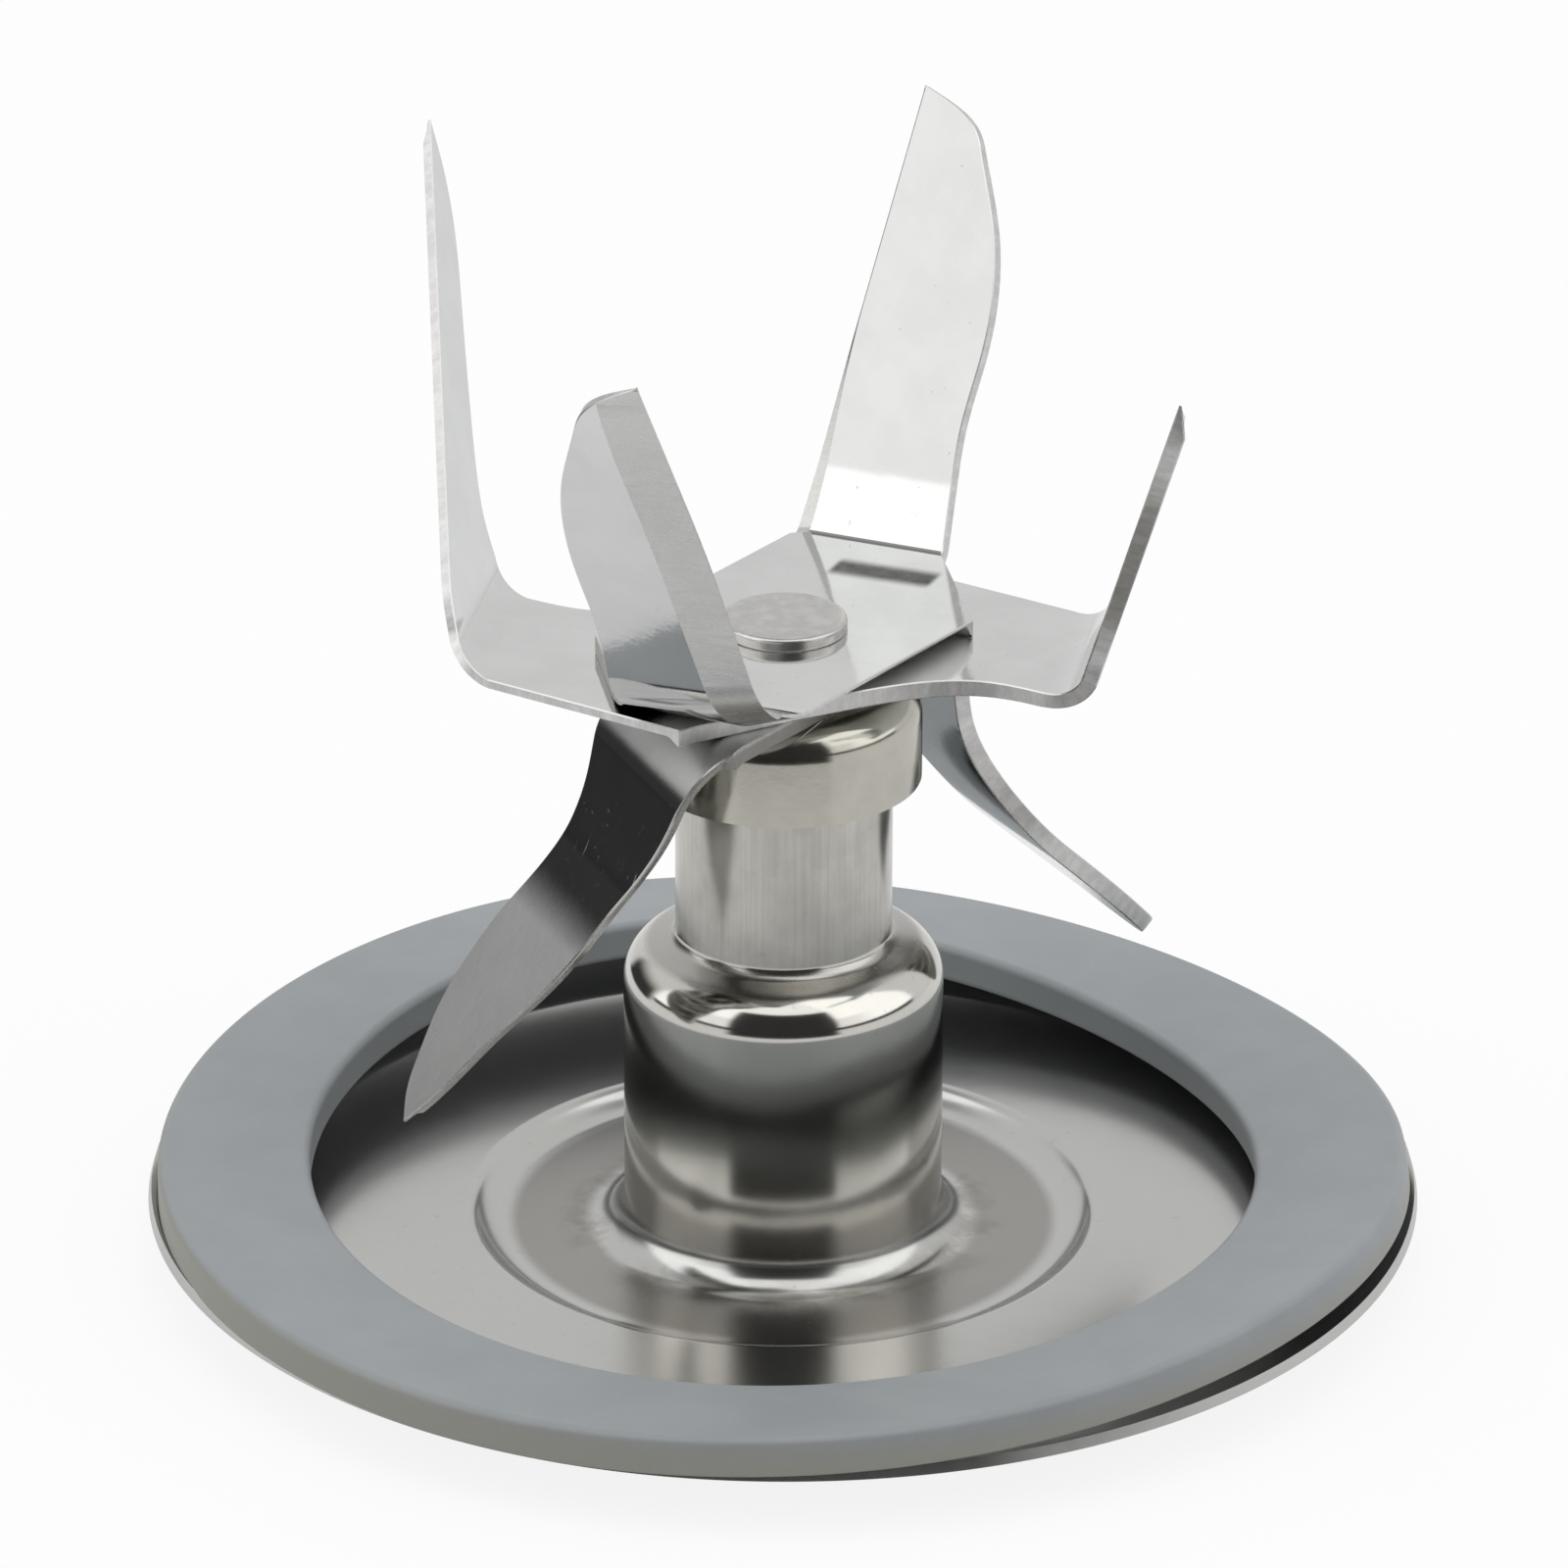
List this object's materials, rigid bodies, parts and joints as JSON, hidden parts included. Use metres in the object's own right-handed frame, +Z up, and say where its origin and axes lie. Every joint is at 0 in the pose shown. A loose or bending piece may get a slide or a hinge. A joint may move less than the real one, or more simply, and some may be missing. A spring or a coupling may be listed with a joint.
{
  "type": "blender blade assembly",
  "caption": "Blender blade assembly: stacked bent blades riveted to a shaft that spins in a drawn steel base plate, with a soft sealing ring on the flange and a square drive socket below.",
  "frame": {"origin": "on the spin axis, level with the underside of the base plate's lowest floor", "axes": "+Z up along the spin axis, +X to the picture's right, -Y towards its front"},
  "size_m": [0.0628, 0.0628, 0.0529],
  "materials": {
    "drawn_steel": "satin drawn stainless steel",
    "blade_steel": "polished stainless sheet",
    "shaft_steel": "turned steel",
    "silicone": "matt grey silicone",
    "bearing_bronze": "sintered bronze",
    "washer_plastic": "plain"
  },
  "bodies": {
    "base": {"base_plate": "drawn_steel", "sealing_ring": "silicone", "upper_bushing": "bearing_bronze", "lower_bushing": "bearing_bronze", "shaft_seal": "silicone", "upper_thrust_washer": "washer_plastic", "lower_thrust_washer": "washer_plastic"},
    "rotor": {"drive_shaft": "shaft_steel", "drive_socket": "shaft_steel", "slinger_cap": "drawn_steel", "lower_blade": "blade_steel", "middle_blade": "blade_steel", "upper_blade": "blade_steel"}
  },
  "joints": [
    {"name": "blade_spin", "type": "hinge", "parent": "base", "child": "rotor", "pos_m": [0, 0, 0], "axis": [0, 0, 1], "continuous": true}
  ]
}
